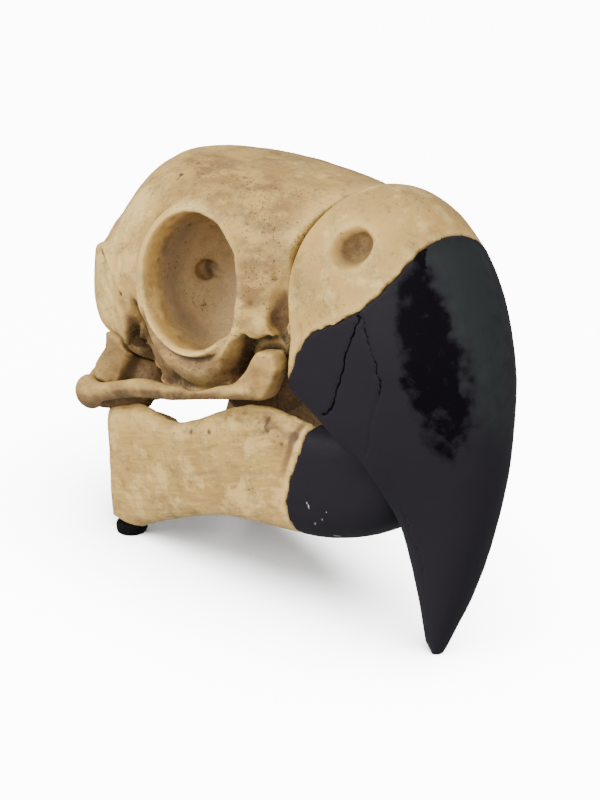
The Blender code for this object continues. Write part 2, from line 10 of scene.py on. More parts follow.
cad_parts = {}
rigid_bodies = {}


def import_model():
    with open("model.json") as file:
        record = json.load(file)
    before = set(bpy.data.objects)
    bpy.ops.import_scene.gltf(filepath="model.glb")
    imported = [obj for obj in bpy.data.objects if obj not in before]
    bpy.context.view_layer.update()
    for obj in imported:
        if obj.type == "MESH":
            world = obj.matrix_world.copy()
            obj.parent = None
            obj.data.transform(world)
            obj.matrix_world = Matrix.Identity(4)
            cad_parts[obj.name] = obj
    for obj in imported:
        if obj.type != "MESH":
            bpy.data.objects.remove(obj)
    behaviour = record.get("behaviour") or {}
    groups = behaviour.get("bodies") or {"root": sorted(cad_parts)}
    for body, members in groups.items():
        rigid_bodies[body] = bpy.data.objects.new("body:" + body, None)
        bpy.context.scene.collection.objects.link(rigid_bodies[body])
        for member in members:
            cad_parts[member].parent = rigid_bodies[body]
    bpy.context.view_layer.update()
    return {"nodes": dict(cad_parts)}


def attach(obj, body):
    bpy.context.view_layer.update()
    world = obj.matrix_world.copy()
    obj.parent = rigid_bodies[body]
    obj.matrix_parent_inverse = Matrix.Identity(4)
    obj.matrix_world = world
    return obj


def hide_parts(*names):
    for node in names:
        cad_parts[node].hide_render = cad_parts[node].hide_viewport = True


started = time.time()
mm = 0.001
noseUp = math.radians(18)      # how far the skull is tipped back as it stands
stance = (46.8, -0.6)          # where that takes the level skull's origin, x and z in millimetres


def report(stage):
    print(f"{time.time() - started:6.1f} s  {stage}")


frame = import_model()
report("frame loaded")


# Camera: looks at the skull's right cheek, from ahead of it and from above.
view = {
    "turn": 50.0,        # degrees round from straight at the right side, towards the bill
    "height": 22.5,      # degrees above level
    "eye": (0.306466, -0.258913, 0.215500),
    "lens": 79.38,
}


def placeCamera(view):
    turn, height = math.radians(view["turn"]), math.radians(view["height"])
    back = Vector((math.sin(turn) * math.cos(height), -math.cos(turn) * math.cos(height), math.sin(height)))
    right = Vector((math.cos(turn), math.sin(turn), 0))
    camera = bpy.data.objects.new("camera", bpy.data.cameras.new("camera"))
    camera.data.lens = view["lens"]
    camera.data.sensor_width = 36
    camera.data.clip_start = 0.01
    axes = Matrix((right, back.cross(right), back)).transposed()
    camera.matrix_world = Matrix.Translation(view["eye"]) @ axes.to_4x4()
    bpy.context.scene.collection.objects.link(camera)
    bpy.context.scene.camera = camera


placeCamera(view)


# Shader sums

class Wire:
    # One output of a shader node, which adds and multiplies as a number does.
    def __init__(self, tree, socket=None):
        self.tree = tree
        self.socket = socket

    def node(self, kind, settings=None, inputs=None, output=0):
        made = self.tree.nodes.new(kind)
        for name, value in (settings or {}).items():
            setattr(made, name, value)
        for name, value in (inputs or {}).items():
            if isinstance(value, Wire):
                self.tree.links.new(value.socket, made.inputs[name])
            else:
                made.inputs[name].default_value = value
        return Wire(self.tree, made.outputs[output])

    def sum(self, operation, first, second=0.0):
        return self.node("ShaderNodeMath", {"operation": operation}, {0: first, 1: second})

    def __add__(self, other):
        return self.sum("ADD", self, other)

    def __radd__(self, other):
        return self.sum("ADD", other, self)

    def __sub__(self, other):
        return self.sum("SUBTRACT", self, other)

    def __rsub__(self, other):
        return self.sum("SUBTRACT", other, self)

    def __mul__(self, other):
        return self.sum("MULTIPLY", self, other)

    def __rmul__(self, other):
        return self.sum("MULTIPLY", other, self)

    # smooth step from 0 at low to 1 at high
    def step(self, low, high):
        spread = {"Value": self, "From Min": low, "From Max": high}
        return self.node("ShaderNodeMapRange", {"interpolation_type": "SMOOTHSTEP"}, spread)

    # a place times scale, plus shift
    def moved(self, place, scale, shift):
        inputs = {0: place, 1: scale, 2: shift}
        return self.node("ShaderNodeVectorMath", {"operation": "MULTIPLY_ADD"}, inputs)

    # cloudy noise from 0 to 1, with lumps about size mm across, stretched along the level skull's axes
    def cloud(self, size, detail=3.0, rough=0.55, shift=0.0, stretch=(1, 1, 1)):
        level = {"Vector": self.node("ShaderNodeTexCoord", output=3), "Angle": noseUp}
        place = self.node("ShaderNodeVectorRotate", {"rotation_type": "Y_AXIS"}, level)
        place = self.moved(place, [1 / (size * mm * s) for s in stretch], (shift, shift * 0.7, -shift))
        looks = {"Vector": place, "Scale": 1.0, "Detail": detail, "Roughness": rough}
        return self.node("ShaderNodeTexNoise", {}, looks)

    # distance from the nearest of many scattered dots, in cells size mm across
    def dots(self, size, shift=0.0):
        place = self.node("ShaderNodeTexCoord", output=3)
        place = self.moved(place, [1 / (size * mm)] * 3, (shift, -shift, shift * 0.6))
        return self.node("ShaderNodeTexVoronoi", {}, {"Vector": place, "Scale": 1.0})

    def attributes(self, *names):
        return [self.node("ShaderNodeAttribute", {"attribute_name": name}, output=2) for name in names]

    def blend(self, first, second, share):
        return self.node("ShaderNodeMix", {"data_type": "RGBA"}, {0: share, 6: first, 7: second}, output=2)

    def bump(self, height, depth):
        return self.node("ShaderNodeBump", {}, {"Height": height, "Distance": depth * mm, "Strength": 1.0})


def newMaterial(name):
    material = bpy.data.materials.new(name)
    material.use_nodes = True
    tree = material.node_tree
    shader = tree.nodes["Principled BSDF"]

    def feed(socket, value):
        if isinstance(value, Wire):
            tree.links.new(value.socket, shader.inputs[socket])
        else:
            shader.inputs[socket].default_value = value

    return material, Wire(tree), feed


# Stained cast bone: tan, paler on ridges and browner in hollows, greyer inside the eye sockets, and
# with grey-green and dark specks. The brown it reads holds real stains and also painted shade, laid
# into recesses, crevices, downward faces and the eye sockets.
boneColours = {
    "mid": (0.50, 0.308, 0.086, 1),
    "light": (0.71, 0.485, 0.17, 1),
    "warm": (0.34, 0.198, 0.062, 1),
    "rust": (0.20, 0.113, 0.041, 1),
    "deep": (0.065, 0.036, 0.015, 1),
    "ash": (0.36, 0.25, 0.145, 1),
    "mould": (0.22, 0.185, 0.07, 1),
    "dot": (0.036, 0.024, 0.010, 1),
}


def boneMaterial():
    material, w, feed = newMaterial("stained cast bone")
    broad = w.cloud(22, 3, 0.6, 1.0)
    patch = w.cloud(8, 4, 0.6, 4.0)
    fine = w.cloud(1.6, 3, 0.65, 7.0)
    tiny = w.cloud(0.5, 2, 0.5, 9.0)
    streak = w.cloud(2.4, 3, 0.6, 3.0, (3.5, 1, 1))
    lines = w.cloud(1.0, 3, 0.6, 23.0, (9, 1, 1))
    wisps = w.cloud(4.5, 5, 0.68, 27.0, (2, 1, 1))
    hollow, ridge, brown, pale, ash = w.attributes("hollow", "ridge", "brown", "pale", "ash")
    dark, mould, smudged, grain = w.attributes("dark", "mould", "smudge", "grain")
    smudge = (wisps * 0.7 + fine * 0.2 + streak * 0.2).step(0.56, 0.7)
    browned = brown + hollow * 0.8 + (wisps - 0.5) * 0.9 * brown
    deepened = brown * 0.95 + hollow * 0.8 - 0.45 + (fine - 0.5) * 0.6 + (wisps - 0.5) * 0.9
    green = (w.cloud(1.1, 3, 0.7, 13.0) * 0.6 + w.cloud(6, 2, 0.5, 15.0) * 0.5).step(0.57, 0.67)
    fleckPatch = (w.cloud(7, 3, 0.6, 17.0) + 0.12 * smudged).step(0.54, 0.66)
    flecks = w.cloud(0.9, 4, 0.8, 33.0).step(0.57, 0.66) * fleckPatch
    speckPatch = (w.cloud(6, 2, 0.5, 17.0) + 0.2 * smudged).step(0.5, 0.62)
    specks = (w.dots(1.3, 3.0) + 0.25 * (1 - tiny)).step(0.3, 0.2) * speckPatch
    spotted = specks * 0.6 + flecks * 0.6 + dark * (0.7 + 0.5 * (tiny - 0.5))
    layers = [      # each colour is laid over those before it, by its share
        ("warm", broad.step(0.42, 0.64) * 0.55),
        ("light", (patch.step(0.48, 0.62) * (1 - smudged) * 0.6 + pale * 0.8).step(0.0, 1.0)),
        ("light", ridge * (0.3 + 0.5 * fine) + grain * lines.step(0.55, 0.68) * 0.5),
        ("rust", smudged * (0.1 + 0.7 * (wisps * 0.7 + streak * 0.3).step(0.42, 0.56))),
        ("rust", smudge * 0.5 + grain * lines.step(0.48, 0.34) * 0.3),
        ("rust", browned.step(0.05, 1.0)),
        ("deep", deepened.step(0.0, 0.9)),
        ("ash", ash * (0.45 + 0.5 * patch)),
        ("mould", green * 0.38 + mould * tiny.step(0.42, 0.62) * 0.8),
        ("dot", spotted.step(0.0, 1.0)),
    ]
    colour = boneColours["mid"]
    for name, share in layers:
        colour = w.blend(colour, boneColours[name], share)
    feed("Base Color", colour)
    feed("Roughness", 0.5 + 0.22 * fine - 0.1 * ridge + 0.12 * hollow)
    raised = fine * 0.55 + tiny * 0.2 + streak * 0.3 + wisps * 0.6 + grain * lines * 0.5
    feed("Normal", w.bump(raised - specks * 0.6 - flecks * 0.4 - green * 0.15, 0.2))
    feed("Specular IOR Level", 0.2)
    return material


# Black horn: charcoal behind, a deeper bruise-black field that is partly painted shade, and a grey-green band
# down the front that is a painted sheen, the lamp's reflection laid into the colour.
hornColours = {
    "charcoal": (0.0160, 0.0142, 0.0180, 1),
    "bruise": (0.0016, 0.0009, 0.0022, 1),
    "satin": (0.0225, 0.0270, 0.0262, 1),
    "crack": (0.0006, 0.0005, 0.0006, 1),
    "chalk": (0.5, 0.48, 0.44, 1),
}


def hornMaterial():
    c = hornColours
    material, w, feed = newMaterial("black horn")
    fine = w.cloud(0.9, 3, 0.6, 2.0)
    broad = w.cloud(9, 3, 0.55, 5.0)
    streak = w.cloud(2.0, 3, 0.6, 8.0, (1, 1, 4))
    tiny = w.cloud(0.35, 2, 0.5, 6.0)
    blotch = w.cloud(3.2, 5, 0.7, 12.0)
    field, sheenBand, crack, chips = w.attributes("field", "sheenBand", "crackLine", "chips")
    split = (crack + (fine - 0.5) * 0.5).step(0.62, 0.8)
    # The field's deeper black is partly painted shade on the side; the grey-green band is a painted sheen
    # down the front.
    fieldDarkness = field + (blotch - 0.5) * 2.2 * field
    paintedSheen = sheenBand * (0.6 + 0.6 * streak) + (broad - 0.5) * 0.3 * sheenBand
    colour = w.blend(c["charcoal"], c["bruise"], fieldDarkness.step(0.22, 0.85))
    colour = w.blend(colour, c["satin"], paintedSheen.step(0.05, 0.95))
    colour = w.blend(colour, c["crack"], split)
    colour = w.blend(colour, c["chalk"], (chips + (tiny - 0.5) * 0.5).step(0.45, 0.8) * 0.75)
    feed("Base Color", colour)
    feed("Roughness", 0.42 + 0.2 * fine + 0.1 * field - 0.04 * sheenBand + 0.1 * streak)
    feed("Normal", w.bump(fine * 0.35 + tiny * 0.25 + streak * 0.35 - split * 2.2, 0.1))
    feed("Specular IOR Level", 0.05)
    return material


feltColours = {"low": (0.001, 0.001, 0.001, 1), "high": (0.012, 0.011, 0.012, 1)}


def feltMaterial():
    material, w, feed = newMaterial("black felt pad")
    fuzz = w.cloud(0.5, 3, 0.7, 2.0)
    feed("Base Color", w.blend(feltColours["low"], feltColours["high"], fuzz.step(0.4, 0.75)))
    feed("Roughness", 0.85 + 0.12 * fuzz)
    feed("Normal", w.bump(fuzz, 0.3))
    feed("Specular IOR Level", 0.1)
    return material


# Arrays over a mesh

def noise(points, size, seed):
    # value noise from -1 to 1: hashed corner values of cells size mm wide, blended with 3f2 - 2f3
    place = points / size + seed * np.array([3.1, 7.7, 5.3])
    cell = np.floor(place)
    part = place - cell
    part = part * part * (3 - 2 * part)
    total = np.zeros(len(points))
    for corner in np.ndindex(2, 2, 2):
        hashed = np.sin((cell + corner) @ np.array([12.9898, 78.233, 37.719]) + seed) * 43758.5453
        total += (hashed - np.floor(hashed)) * np.prod(np.where(corner, part, 1 - part), axis=1)
    return total * 2 - 1


def rise(value, low, high):
    # smooth step from 0 at low to 1 at high
    t = np.clip((value - low) / (high - low), 0, 1)
    return t * t * (3 - 2 * t)


def lineSpans(points, line):
    # for each point the nearest place on a polyline: the vector to it and how far along it is
    line = np.array(line, float)
    run = line[1:] - line[:-1]
    length = np.linalg.norm(run, axis=1)
    start = np.concatenate([[0], np.cumsum(length)[:-1]])
    best = np.full(len(points), 1e9)
    away = np.zeros_like(points)
    along = np.zeros(len(points))
    for first, step, size, begun in zip(line[:-1], run, length, start):
        share = np.clip((points - first) @ step / size**2, 0, 1)
        gap = points - first - share[:, None] * step
        far = np.linalg.norm(gap, axis=1)
        near = far < best
        best = np.where(near, far, best)
        away[near] = gap[near]
        along = np.where(near, begun + share * size, along)
    return best, away, along / length.sum()


def nearLine(points, line, width):
    # 1 on the line, falling as a bell curve of that width
    return np.exp(-((lineSpans(points, line)[0] / width) ** 2))


def nearPoint(points, centre, radii):
    # 1 at the centre, falling as a bell curve with those radii
    return np.exp(-(((points - centre) / radii) ** 2).sum(axis=1))


def toFrame(points):
    # level skull as it stands: x cos - z sin and x sin + z cos of the angle nose up, moved to its place
    x, z = np.array(points, float).T
    across, up = math.cos(noseUp), math.sin(noseUp)
    return np.column_stack([x * across - z * up, x * up + z * across]) + stance


def sideLine(points, line):
    # signed distance, seen from the side, to a line in the XZ plane, and the way across it there
    flat = points[:, [0, 2]]
    far, away, along = lineSpans(flat, line)
    line = np.array(line, float)
    run = np.gradient(line, axis=0)
    place = along * (len(line) - 1)
    low = np.minimum(place.astype(int), len(line) - 2)
    tangent = run[low] + (run[low + 1] - run[low]) * (place - low)[:, None]
    tangent /= np.linalg.norm(tangent, axis=1)[:, None]
    across = np.column_stack([-tangent[:, 1], tangent[:, 0]])
    return far * np.sign((away * across).sum(axis=1)), across


def smoothPath(points, count):
    # Catmull-Rom curve through the given rows, read at evenly spaced places
    points = np.array(points, float)
    framed = np.vstack([2 * points[0] - points[1], points, 2 * points[-1] - points[-2]])
    place = np.linspace(0, len(points) - 1, count)
    span = np.minimum(place.astype(int), len(points) - 2)
    f = (place - span)[:, None]
    a, b, c, d = (framed[span + k] for k in range(4))
    return 0.5 * (2 * b + (c - a) * f + (2 * a - 5 * b + 4 * c - d) * f**2 + (3 * b - a - 3 * c + d) * f**3)


def ball(centre, radii, axes=np.eye(3)):
    # ellipsoid: centre + (sin t cos s, sin t sin s, cos t) scaled by the radii along its axes
    turns = np.linspace(0, 2 * math.pi, 40, endpoint=False)
    t, s = np.meshgrid(np.linspace(0.03, math.pi - 0.03, 26), turns, indexing="ij")
    unit = np.stack([np.sin(t) * np.cos(s), np.sin(t) * np.sin(s), np.cos(t)], -1)
    return np.array(centre) + (unit * radii) @ np.array(axes)


def bar(stations, count=40, around=18):
    # an ellipse carried along a smooth path; a station is x, y, z, half width across and half height
    rows = smoothPath(stations, count)
    run = np.gradient(rows[:, :3], axis=0)
    run /= np.linalg.norm(run, axis=1)[:, None]
    across = np.cross(run, (0, 0, 1.0)) + np.cross(run, (0.02, 0, 0))
    across /= np.linalg.norm(across, axis=1)[:, None]
    above = np.cross(across, run)
    a = np.linspace(0, 2 * math.pi, around, endpoint=False)
    wide, high = rows[:, 3, None, None], rows[:, 4, None, None]
    ring = across[:, None] * wide * np.cos(a)[:, None] + above[:, None] * high * np.sin(a)[:, None]
    return rows[:, None, :3] + ring


def slab(outline, near, far):
    # an outline in the XZ plane carried from y = near to y = far
    outline = np.array(outline, float)
    return np.stack([np.insert(outline, 1, y, axis=1) for y in (near, far)])


def bothSides(*grids):
    return [side for grid in grids for side in (grid, grid * (1, -1, 1))]


def closedMesh(name, grid):
    # faces over a grid whose columns run round the piece, and one cap at each end
    rows, around = grid.shape[:2]
    first = np.arange(rows - 1)[:, None] * around
    here = first + np.arange(around)
    after = first + (np.arange(around) + 1) % around
    faces = np.stack([here, after, after + around, here + around], -1).reshape(-1, 4).tolist()
    faces += [list(range(around)), list(range((rows - 1) * around, rows * around))]
    mesh = bpy.data.meshes.new(name)
    mesh.from_pydata((grid.reshape(-1, 3) * mm).tolist(), [], faces)
    made = bmesh.new()
    made.from_mesh(mesh)
    bmesh.ops.recalc_face_normals(made, faces=made.faces)
    made.to_mesh(mesh)
    made.free()
    return mesh


def onRight(points):
    # each point, or its mirror image where it is on the left, so that both sides follow the same lines
    return np.column_stack([points[:, 0], -np.abs(points[:, 1]), points[:, 2]])


def spots(points, places):
    # strength times a bell curve round each place, added up; a place is strength, centre and radii
    return sum(strength * nearPoint(points, centre, radii) for strength, centre, radii in places)


class Fine:
    # A fine copy of a CAD node, as arrays in millimetres: fused with the pieces in add, less those in cut.
    def __init__(self, name, node, looks, add=(), cut=(), crease=40.0, levels=2):
        made = bmesh.new()
        made.from_mesh(frame["nodes"][node].data)
        bmesh.ops.remove_doubles(made, verts=made.verts, dist=1e-6)
        sharp = made.edges.layers.float.new("crease_edge")
        for edge in made.edges:
            if len(edge.link_faces) == 2 and edge.calc_face_angle() > math.radians(crease):
                edge[sharp] = 1.0
        mesh = bpy.data.meshes.new(name)
        made.to_mesh(mesh)
        made.free()
        self.piece = bpy.data.objects.new(name, mesh)
        bpy.context.scene.collection.objects.link(self.piece)
        rounder = self.piece.modifiers.new("rounder", "SUBSURF")
        rounder.levels = rounder.render_levels = levels
        self.bake()
        self.fuse(add)
        self.remesh(looks["voxel"], looks["passes"])
        if cut:
            self.carve(cut)
            self.remesh(looks["voxel"], 2)
        self.mesh.name = name
        self.mesh.materials.clear()
        self.points = self.read(self.mesh.vertices, "co") / mm
        edges = np.empty(len(self.mesh.edges) * 2, np.int32)
        self.mesh.edges.foreach_get("vertices", edges)
        self.edges = edges.reshape(-1, 2)
        self.links = np.maximum(np.bincount(edges, minlength=len(self.points)), 1)

    def read(self, rows, name):
        found = np.empty(len(rows) * 3)
        rows.foreach_get(name, found)
        return found.reshape(-1, 3)

    def bake(self):
        graph = bpy.context.evaluated_depsgraph_get()
        graph.update()
        self.mesh = bpy.data.meshes.new_from_object(self.piece.evaluated_get(graph))
        self.piece.modifiers.clear()
        self.piece.data = self.mesh

    def fuse(self, grids):
        # closed pieces laid into the mesh; the remesh that follows makes them one skin
        if grids:
            made = bmesh.new()
            made.from_mesh(self.mesh)
            for grid in grids:
                made.from_mesh(closedMesh("added", grid))
            made.to_mesh(self.mesh)
            made.free()

    def carve(self, grids):
        tools = bpy.data.collections.new(self.piece.name + "Tools")
        bpy.context.scene.collection.children.link(tools)
        for grid in grids:
            tools.objects.link(bpy.data.objects.new("tool", closedMesh("tool", grid)))
        carve = self.piece.modifiers.new("carve", "BOOLEAN")
        carve.operation = "DIFFERENCE"
        carve.operand_type = "COLLECTION"
        carve.collection = tools
        carve.solver = "MANIFOLD"
        self.bake()
        for tool in list(tools.objects):
            bpy.data.objects.remove(tool)
        bpy.data.collections.remove(tools)

    def remesh(self, voxel, passes):
        even = self.piece.modifiers.new("even", "REMESH")
        even.mode = "VOXEL"
        even.voxel_size = voxel * mm
        ease = self.piece.modifiers.new("ease", "SMOOTH")
        ease.factor = 0.5
        ease.iterations = passes
        self.bake()

    def normals(self):
        self.mesh.vertices.foreach_set("co", (self.points * mm).ravel())
        self.mesh.update()
        return self.read(self.mesh.vertex_normals, "vector")

    def spread(self, values, passes, share=0.5):
        # each pass moves every value a share of the way to the mean of its neighbours
        a, b = self.edges.T
        values = values.reshape(len(self.points), -1)
        for _ in range(passes):
            total = np.column_stack([
                np.bincount(a, column[b], len(values)) + np.bincount(b, column[a], len(values))
                for column in values.T
            ])
            values = values + share * (total / self.links[:, None] - values)
        return values

    def push(self, amount):
        # every point moves out along its normal by amount mm
        self.points = self.points + self.normals() * np.asarray(amount).reshape(-1, 1)

    def relief(self, passes, span):
        # how far each point stands out of its own smoothed surface, 1 for span mm
        eased = self.spread(self.points, passes)
        return ((self.points - eased) * self.normals()).sum(axis=1) / span

    def mark(self, name, values):
        # a value from 0 to 1 at each point, which the material reads
        layer = self.mesh.attributes.new(name, "FLOAT", "POINT")
        values = np.broadcast_to(np.clip(values, 0, 1), len(self.points))
        layer.data.foreach_set("value", values.astype(np.float32))

    def done(self, material, slot, *nodes):
        self.normals()
        self.mesh.shade_smooth()
        self.mesh.materials.append(material)
        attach(self.piece, "root")
        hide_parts(*nodes)
        report(f"{self.piece.name}: {len(self.mesh.polygons)} faces")


bone = boneMaterial()
horn = hornMaterial()
felt = feltMaterial()


# The lines that neighbours share, level skull, x and z in millimetres.
hingeLine = toFrame([
    (14.5, 121.0), (11.0, 111.0), (5.6, 105.6), (0.6, 99.6), (-0.8, 93.0), (-1.6, 82.0), (-5.5, 74.0),
    (-12.0, 60.0),
])
sheathLine = toFrame([
    (42.0, 112.0), (36.0, 103.0), (32.2, 97.0), (30.0, 92.8), (26.4, 89.7), (21.5, 86.2), (15.2, 84.1),
    (9.2, 83.3), (2.8, 80.3), (-1.2, 75.8), (-7.7, 70.0), (-17.0, 62.0),
])
jawSheathLine = toFrame([
    (-1.0, 74.0), (-5.5, 64.0), (-8.0, 59.0), (-11.0, 53.0), (-15.3, 47.0), (-18.6, 41.5), (-20.0, 36.0),
    (-20.5, 31.0), (-20.0, 20.0),
])

jagged = {"reach": 3.0, "coarse": 0.55, "fine": 0.28}


def jagSeam(fine, line):
    # both sides of a seam move together by noise across it, dying out within reach of the line
    far, across = sideLine(fine.points, line)
    near = 1 - rise(np.abs(far), 0.0, jagged["reach"])
    shift = jagged["coarse"] * noise(fine.points, 3.2, 5) + jagged["fine"] * noise(fine.points, 1.2, 8)
    fine.points[:, 0] += across[:, 0] * near * shift
    fine.points[:, 2] += across[:, 1] * near * shift
    return far


def bonySkin(fine, amount=1.0, seed=1):
    # low swells, small bumps and scattered pits of a moulded bone surface
    p = fine.points
    swell = 0.16 * noise(p, 9.0, seed) + 0.08 * noise(p, 3.6, seed + 1) + 0.035 * noise(p, 1.4, seed + 2)
    pits = rise(noise(p, 1.7, seed + 3), 0.55, 0.85) * rise(noise(p, 9.0, seed + 4), 0.05, 0.4)
    fine.push(amount * (swell - 0.22 * pits))
    return pits


def boneMarks(fine, passes=60, calm=0.0, **stains):
    # hollows and ridges for the colour come from the shape itself, less where it is calm
    near = fine.relief(passes, 0.35)
    wide = fine.relief(passes * 4, 1.3)
    fine.mark("hollow", np.clip(-near * 0.6 - wide * 0.9, 0, 1) * (1 - calm))
    fine.mark("ridge", np.clip(near * 0.6 + wide * 0.4, 0, 1) * (1 - calm))
    for name in ("brown", "dark", "pale", "mould", "smudge", "grain", "ash"):
        fine.mark(name, stains.get(name, 0.0))


# Cranium. Places, lines and outlines are on its right side, in millimetres; the left follows them.
craniumLooks = {
    "voxel": 0.56,
    "passes": 3,
    "skin": 1.0,        # strength of the uneven surface
    "valley": 1.0,      # depth in mm of the crease behind the bill's hinge
    "bowl": 2.6,        # of the bowl under the eye
    "wing": 0.7,        # of the flat wing behind the eye
    "crest": 0.9,       # of the groove along the wing's upper edge
    "pits": 1.1,
    "flush": 0.8,       # how far the brow is eased level with the eye's rim, 0 to 1
}
# Much of this brown is painted shade: in the recess and the opening before the eye, under the skull, round
# the knob and down the crevice, in the crest's groove, in the socket and in the valley behind the hinge. The
# bowl's brown is partly painted shade and partly mottled stain; the bowl's blotches and the hinge line are
# the bone's own.
craniumBrown = {      # how brown each form is
    "recess": 0.28, "hole": 0.7, "bowl": 0.6, "bruise": 0.3, "under": 0.35, "crevice": 0.95, "hinge": 0.5,
    "crest": 0.7, "eye": 0.36, "eyeBack": 0.5, "plugShade": 0.7, "valley": 0.25,
}
orbit = {"centre": (-10.5, -25.8, 83.0), "facing": (0.246, -0.944, 0.217), "radii": (13.7, 16.3, 21.5)}
orbitCorner = {"ahead": 8.0, "below": 8.8, "radii": (4.6, 5.2, 8.0)}
plug = {"centre": (-24.2, -12.0, 79.5), "radii": (2.3, 1.6, 2.3), "ring": 2.5}
plugGroove = [(-24.0, -10.4, 79.3, 0.9, 0.9), (-21.5, -9.2, 78.3, 0.8, 0.9), (-17.0, -8.8, 77.9, 0.7, 0.5)]
# the line of painted shade along the plug's groove
plugShadeLine = [(-22.2, -10.0, 78.6), (-20.0, -9.0, 78.1), (-15.0, -8.8, 78.2)]
hindKnob = {"centre": (-29.0, -21.0, 60.0), "radii": (6.6, 5.2, 7.2)}
antorbital = [
    (4.4, 72.0), (6.6, 74.4), (9.6, 73.4), (12.4, 75.4), (15.0, 74.2), (17.5, 76.0), (20.0, 72.0),
    (14.0, 62.0), (4.0, 59.5), (0.6, 62.4), (2.6, 68.3),
]
lacrimal = [
    (16.4, -21.2, 91.0, 0.7, 0.9), (15.8, -21.0, 87.0, 1.6, 1.8), (14.9, -20.9, 82.8, 2.6, 2.8),
    (14.5, -20.7, 79.4, 3.0, 2.6), (15.4, -20.3, 76.2, 2.6, 2.0), (16.2, -20.0, 73.4, 2.2, 1.6),
]
hookTrim = [
    (-60.0, 62.0), (-53.7, 61.4), (-49.2, 60.2), (-44.0, 58.8), (-39.6, 57.2), (-37.4, 58.4), (-36.6, 64.0),
    (-33.0, 62.0), (-33.4, 52.0), (-56.0, 44.0),
]
bowl = [
    (-34.6, 60.1), (-28.7, 61.4), (-18.2, 61.4), (-8.1, 63.2), (2.1, 67.5), (3.9, 64.5), (1.6, 60.8),
    (-8.3, 56.7), (-20.6, 54.0), (-29.9, 53.5), (-34.0, 56.3),
]
sill = [
    (-29.5, -23.6, 56.2, 1.4, 2.2), (-25.0, -25.2, 54.6, 1.9, 2.0), (-16.0, -26.2, 55.4, 2.1, 1.8),
    (-7.0, -26.2, 57.8, 2.0, 1.8), (1.0, -25.0, 61.2, 1.4, 1.4),
]
crevice = [
    (-36.6, -30.0, 72.6, 0.3, 1.6), (-35.0, -29.0, 68.8, 0.8, 2.2), (-34.6, -28.0, 63.0, 1.3, 3.0),
    (-36.4, -26.4, 56.0, 2.4, 3.6),
]
# a line of painted shade down the crevice behind the eye
creviceShadeLine = [(-36.6, -26.4, 71.0), (-34.6, -25.2, 63.0), (-36.6, -24.2, 56.0)]
wingFace = [
    (-52.6, 80.8), (-58.0, 72.7), (-58.6, 66.1), (-54.6, 63.0), (-49.4, 60.0), (-40.7, 57.8), (-37.8, 62.6),
    (-37.6, 65.7), (-41.0, 70.3), (-46.4, 75.5),
]
crestGroove = [
    (-53.6, -22.3, 80.0), (-51.8, -22.9, 79.5), (-48.6, -24.5, 79.3), (-45.1, -26.2, 78.4),
    (-42.9, -27.0, 77.3), (-39.8, -27.7, 75.4), (-37.6, -28.1, 73.4),
]
craniumPlaces = {      # strength, centre and radii of each spot
    "pits": [(1.0, (8.5, -21.3, 94.4), 0.9), (1.0, (13.3, -21.1, 88.4), 0.9), (1.0, (7.4, -22.9, 81.7), 0.9)],
    "dents": [(0.8, (-22.5, -12.1, 86.7), 1.5), (0.6, (1.0, -23.5, 92.0), (3.0, 3.0, 3.4))],
    "dots": [(1.0, (-21.5, -18.1, 92.6), 0.6), (1.0, (-20.3, -15.6, 72.1), (0.5, 1.2, 0.5))],
    "crown": [(1.0, (-24.0, -15.0, 103.0), (10.0, 8.0, 6.0)), (0.7, (-34.0, -17.0, 99.0), (8.0, 8.0, 6.0))],
    "brow": [(1.0, (-40.0, -20.5, 92.0), (9.0, 9.0, 9.0)), (1.0, (-47.0, -24.0, 82.0), (8.0, 6.0, 7.0))],
    "knob": [(1.0, (-40.0, -21.0, 55.0), (7.0, 7.0, 6.0))],
    "mould": [(0.5, (16.5, -19.0, 95.0), (5.0, 5.0, 5.0))],
    "bruises": [
        (1.0, (0.5, -26.0, 62.5), (3.4, 6.0, 2.6)), (1.0, (-24.0, -26.0, 60.5), (3.6, 6.0, 2.2)),
        (1.0, (-18.0, -26.0, 57.0), (4.0, 6.0, 2.0)),
    ],
    "smudges": [
        (1.0, (-24.0, -10.0, 104.0), (16.0, 10.0, 7.0)), (1.0, (2.0, -15.0, 103.5), (14.0, 9.0, 7.0)),
        (1.0, (9.5, -21.0, 93.0), (7.0, 6.0, 10.0)), (0.8, (6.0, -24.0, 80.0), (8.0, 6.0, 8.0)),
    ],
}


def orbitAxes():
    # forward along the skull, up across the opening, and out of it
    facing = np.array(orbit["facing"]) / np.linalg.norm(orbit["facing"])
    along = np.array((math.cos(noseUp), 0, math.sin(noseUp)))
    along = along - facing * (along @ facing)
    along /= np.linalg.norm(along)
    return np.array([along, np.cross(facing, along), facing])


def orbitPlace(points):
    # how far out of the eye's opening a point is, 1 on its edge, which way round, and how far in front
    local = (points - orbit["centre"]) @ orbitAxes().T
    u, v = local[:, 0] / orbit["radii"][0], local[:, 1] / orbit["radii"][1]
    return np.hypot(u, v), np.degrees(np.arctan2(v, u)), local[:, 2]


def inOutline(points, outline, soft):
    # 1 inside an outline seen from the side, falling to 0 within soft mm outside it
    outline = np.array(outline + outline[:1], float)
    flat = points[:, [0, 2]]
    a, b = outline[:-1], outline[1:]
    x, z = flat[:, :1], flat[:, 1:]
    edge = (b[:, 0] - a[:, 0]) * (z - a[:, 1]) / (b[:, 1] - a[:, 1] + 1e-9) + a[:, 0]
    crosses = ((a[:, 1] > z) != (b[:, 1] > z)) & (x < edge)
    inside = crosses.sum(axis=1) % 2 == 1
    far = lineSpans(flat, outline)[0]
    return rise(np.where(inside, far, -far), -soft, 0.35 * soft)


def rimBar(low, high, out, width, lift):
    # a bar round the eye's opening between two angles in degrees: centre + along cos a + above sin a
    along, above, facing = orbitAxes()
    wide, tall, _ = orbit["radii"]
    a = np.radians(np.linspace(low, high, 12))[:, None]
    ring = np.array(orbit["centre"]) + along * np.cos(a) * (wide + out) + above * np.sin(a) * (tall + out)
    return bar(np.column_stack([ring + facing * lift, np.full((12, 2), width)]))


